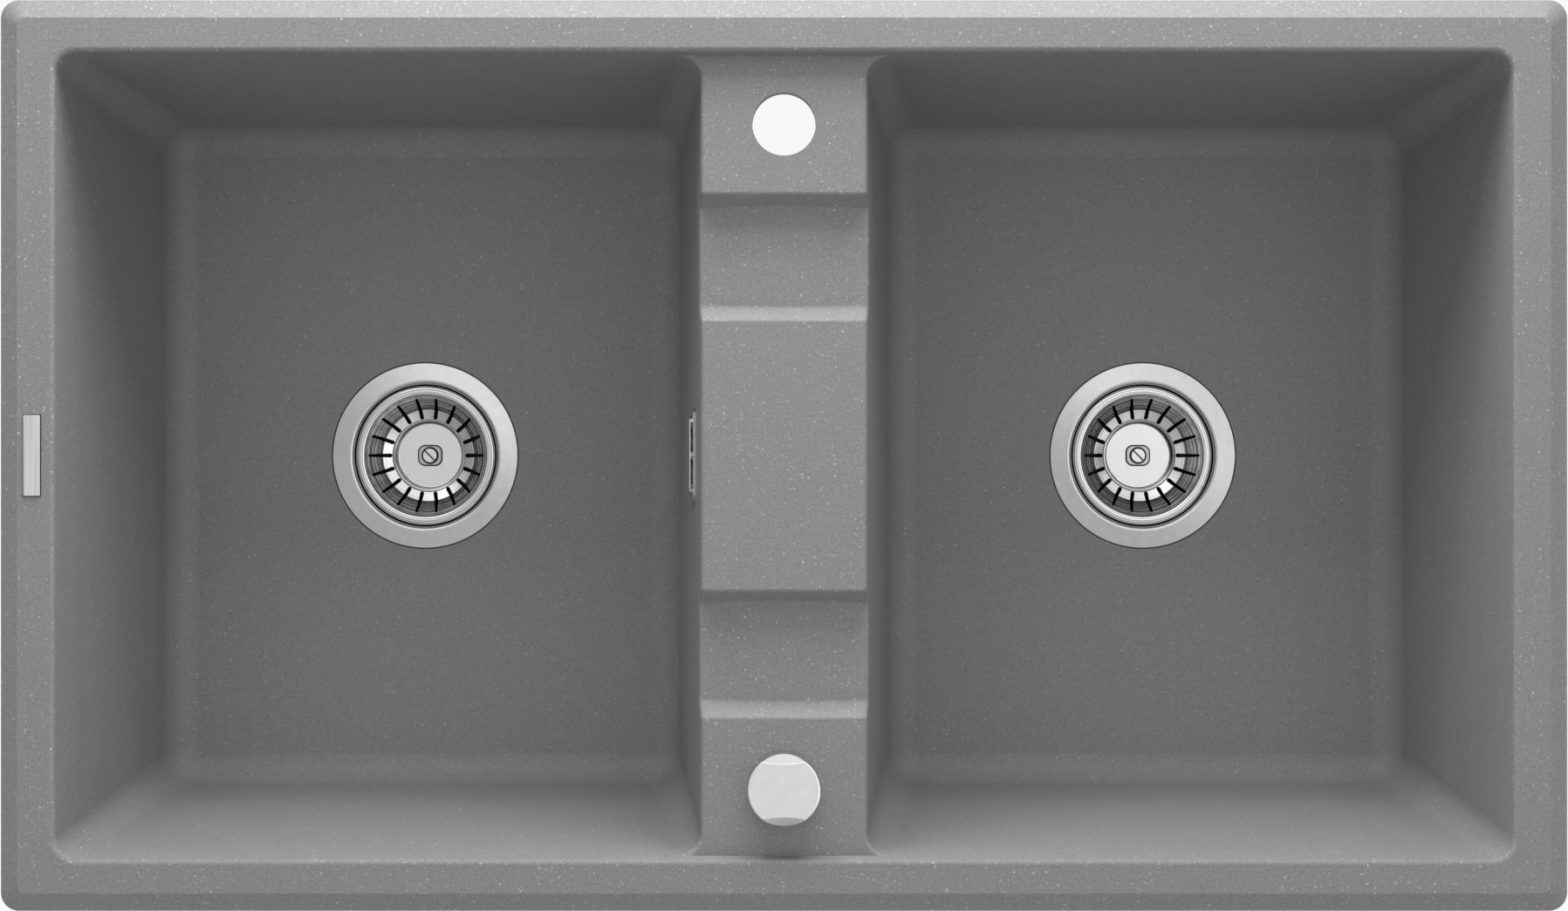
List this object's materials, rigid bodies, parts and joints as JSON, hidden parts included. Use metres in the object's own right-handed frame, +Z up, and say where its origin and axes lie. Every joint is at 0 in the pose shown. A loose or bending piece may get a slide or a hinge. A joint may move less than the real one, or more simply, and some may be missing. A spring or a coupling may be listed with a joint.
{
  "type": "granite kitchen sink",
  "caption": "Inset double-bowl kitchen sink in dark stone composite, with a tap ledge between the bowls, basket strainers, an overflow and a rotary waste control.",
  "frame": {"origin": "centre of the sink in plan, on the plane of the worktop that the rim rests on", "axes": "+X right along the length as seen from the front, +Y to the back where the tap stands, +Z up out of the worktop"},
  "size_m": [0.86, 0.5, 0.34],
  "materials": {
    "granite_composite": "matt moulded granite composite with fine pale grains",
    "satin_steel": "satin pressed stainless steel",
    "brushed_steel": "brushed along its length",
    "satin_chrome": "satin chrome plate",
    "zinc_steel": "zinc-plated steel",
    "brass": "turned brass",
    "black_rubber": "moulded rubber",
    "white_plastic": "moulded polypropylene",
    "grey_plastic": "blown polyethylene hose",
    "dark_plastic": "moulded nylon"
  },
  "bodies": {
    "sink": {"sink_moulding": "granite_composite", "badge_plate": "brushed_steel", "fixing_inserts": "brass", "fixing_screws": "zinc_steel", "left_strainer_flange": "satin_steel", "right_strainer_flange": "satin_steel", "flange_gaskets": "black_rubber", "floor_gaskets": "black_rubber", "left_waste_body": "white_plastic", "right_waste_body": "white_plastic", "left_clamp_screw": "satin_steel", "right_clamp_screw": "satin_steel", "lever_gland": "dark_plastic", "actuator_box": "dark_plastic", "left_cross_pipe": "white_plastic", "right_cross_pipe": "white_plastic", "outlet_tee": "white_plastic", "slip_nuts": "white_plastic", "cone_washers": "black_rubber", "inlet_cap": "white_plastic", "inlet_washer": "black_rubber", "overflow_base": "satin_steel", "overflow_cover": "satin_steel", "overflow_screw": "satin_steel", "overflow_gasket": "black_rubber", "overflow_elbow": "dark_plastic", "overflow_hose": "grey_plastic", "hose_clips": "zinc_steel", "knob_gasket": "black_rubber", "knob_housing": "dark_plastic", "knob_washer": "dark_plastic", "knob_nut": "dark_plastic", "cable_box": "dark_plastic", "cable_box_lid": "dark_plastic", "cable_ferrules": "zinc_steel", "bowden_cable": "black_rubber"},
    "knob": {"control_knob": "satin_chrome", "knob_grub_screw": "zinc_steel", "knob_spindle": "zinc_steel", "cable_drum": "dark_plastic"},
    "lift_lever": {"lift_lever": "zinc_steel"},
    "lift_pin": {"lift_pin": "white_plastic"},
    "left_basket": {"left_basket": "satin_steel", "left_basket_stem": "dark_plastic", "left_basket_screw": "satin_steel", "left_plug_seal": "black_rubber"},
    "right_basket": {"right_basket": "satin_steel", "right_basket_stem": "dark_plastic", "right_basket_screw": "satin_steel", "right_plug_seal": "black_rubber"},
    "clip_1": {"fixing_clip_1": "zinc_steel"},
    "clip_2": {"fixing_clip_2": "zinc_steel"},
    "clip_3": {"fixing_clip_3": "zinc_steel"},
    "clip_4": {"fixing_clip_4": "zinc_steel"},
    "clip_5": {"fixing_clip_5": "zinc_steel"},
    "clip_6": {"fixing_clip_6": "zinc_steel"},
    "clip_7": {"fixing_clip_7": "zinc_steel"},
    "clip_8": {"fixing_clip_8": "zinc_steel"}
  },
  "joints": [
    {"name": "knob_turn", "type": "hinge", "parent": "sink", "child": "knob", "pos_m": [0, -0.1825, 0], "axis": [0, 0, -1], "range_deg": [0, 90]},
    {"name": "lift_lever_turn", "type": "hinge", "parent": "sink", "child": "lift_lever", "pos_m": [-0.2361, 0, -0.2565], "axis": [0, -1, 0], "range_deg": [0, 30.01]},
    {"name": "lift_pin_rise", "type": "slide", "parent": "sink", "child": "lift_pin", "axis": [0, 0, 1], "range_m": [0, 0.00901]},
    {"name": "left_basket_rise", "type": "slide", "parent": "sink", "child": "left_basket", "axis": [0, 0, 1], "range_m": [0, 0.00901]},
    {"name": "right_basket_rise", "type": "slide", "parent": "sink", "child": "right_basket", "axis": [0, 0, 1], "range_m": [0, 0.06]},
    {"name": "clip_1_turn", "type": "hinge", "parent": "sink", "child": "clip_1", "pos_m": [-0.2924, 0.2315, -0.048], "axis": [0, 0, 1], "range_deg": [0, 90]},
    {"name": "clip_2_turn", "type": "hinge", "parent": "sink", "child": "clip_2", "pos_m": [-0.2924, -0.2315, -0.048], "axis": [0, 0, 1], "range_deg": [0, 90]},
    {"name": "clip_3_turn", "type": "hinge", "parent": "sink", "child": "clip_3", "pos_m": [0, 0.2315, -0.048], "axis": [0, 0, 1], "range_deg": [0, 90]},
    {"name": "clip_4_turn", "type": "hinge", "parent": "sink", "child": "clip_4", "pos_m": [0, -0.2315, -0.048], "axis": [0, 0, 1], "range_deg": [0, 90]},
    {"name": "clip_5_turn", "type": "hinge", "parent": "sink", "child": "clip_5", "pos_m": [0.2924, 0.2315, -0.048], "axis": [0, 0, 1], "range_deg": [0, 90]},
    {"name": "clip_6_turn", "type": "hinge", "parent": "sink", "child": "clip_6", "pos_m": [0.2924, -0.2315, -0.048], "axis": [0, 0, 1], "range_deg": [0, 90]},
    {"name": "clip_7_turn", "type": "hinge", "parent": "sink", "child": "clip_7", "pos_m": [0.4115, 0, -0.048], "axis": [0, 0, 1], "range_deg": [0, 90]},
    {"name": "clip_8_turn", "type": "hinge", "parent": "sink", "child": "clip_8", "pos_m": [-0.4115, 0, -0.048], "axis": [0, 0, 1], "range_deg": [0, 90]}
  ],
  "couplings": [
    {"joint": "lift_lever_turn", "follows": "knob_turn", "ratio": 0.33333},
    {"joint": "lift_pin_rise", "follows": "knob_turn", "m_per_rad": 0.0057296},
    {"joint": "left_basket_rise", "follows": "knob_turn", "m_per_rad": 0.0057296}
  ]
}
